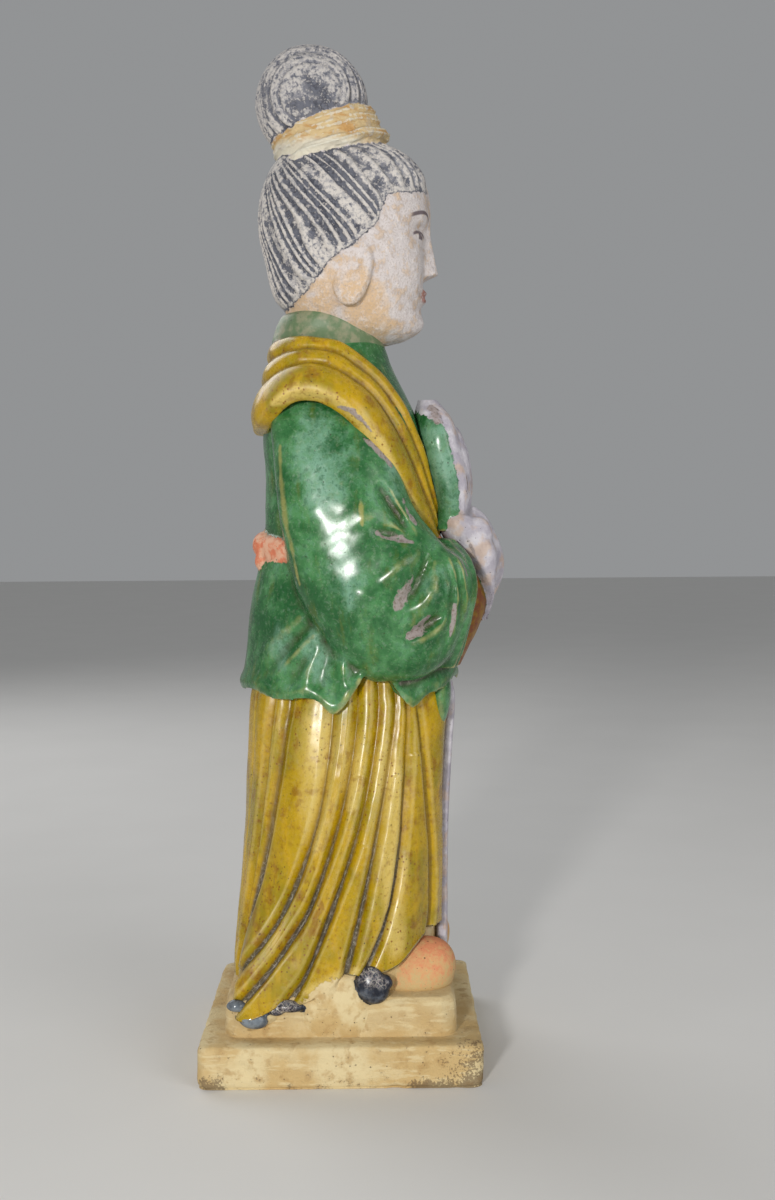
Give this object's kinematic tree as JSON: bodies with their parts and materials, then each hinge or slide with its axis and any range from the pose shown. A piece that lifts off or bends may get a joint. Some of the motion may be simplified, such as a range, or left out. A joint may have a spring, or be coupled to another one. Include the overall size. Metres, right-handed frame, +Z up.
{
  "type": "glazed tomb attendant figure",
  "caption": "Standing glazed earthenware attendant with a tied bun, rolled shawl, wide sleeves over covered hands and a pleated skirt, on a square stepped plinth.",
  "frame": {"origin": "centre of the plinth's underside", "axes": "+Z up along the figure's height; the figure faces -Y, so its right side is -X"},
  "size_m": [0.0734, 0.082, 0.2713],
  "materials": {
    "glazed_earthenware": "green and amber lead glaze over pale earthenware, with bare slip and worn paint on head and plinth"
  },
  "bodies": {
    "root": {"tomb_attendant_figure": "glazed_earthenware"}
  },
  "joints": []
}
